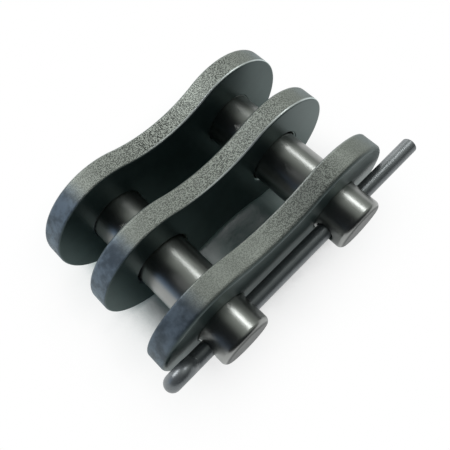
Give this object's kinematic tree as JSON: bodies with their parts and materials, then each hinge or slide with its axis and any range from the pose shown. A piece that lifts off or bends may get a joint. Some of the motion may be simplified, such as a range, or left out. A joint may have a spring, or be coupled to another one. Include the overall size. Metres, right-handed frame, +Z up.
{
  "type": "leaf chain clevis connector",
  "caption": "Cottered connecting link that joins leaf chain to a clevis: waisted steel plates on riveted pins, a loose middle plate and a long split cotter through the pin ends.",
  "frame": {"origin": "midway between the two pin axes, on the centre plane between the two outer plates", "axes": "+X from the left pin to the right pin, +Y towards the back plate that holds the riveted heads, +Z up as the link stands on its plates"},
  "size_m": [0.0555, 0.0341, 0.0226],
  "materials": {
    "plate_steel": "heat-treated grey steel, punched rim with fine grain",
    "pin_steel": "ground and polished dark steel",
    "cotter_steel": "bright drawn wire"
  },
  "bodies": {
    "link": {"back_plate": "plate_steel", "front_plate": "plate_steel", "left_pin": "pin_steel", "right_pin": "pin_steel"},
    "middle_plate": {"middle_plate": "plate_steel"},
    "cotter": {"cotter_pin": "cotter_steel"}
  },
  "joints": [
    {"name": "middle_plate_slide", "type": "slide", "parent": "link", "child": "middle_plate", "axis": [0, 1, 0], "range_m": [-0.00913, 0.00713]},
    {"name": "cotter_slide", "type": "slide", "parent": "link", "child": "cotter", "axis": [-1, 0, 0], "range_m": [-0.0015, 0.05]}
  ]
}
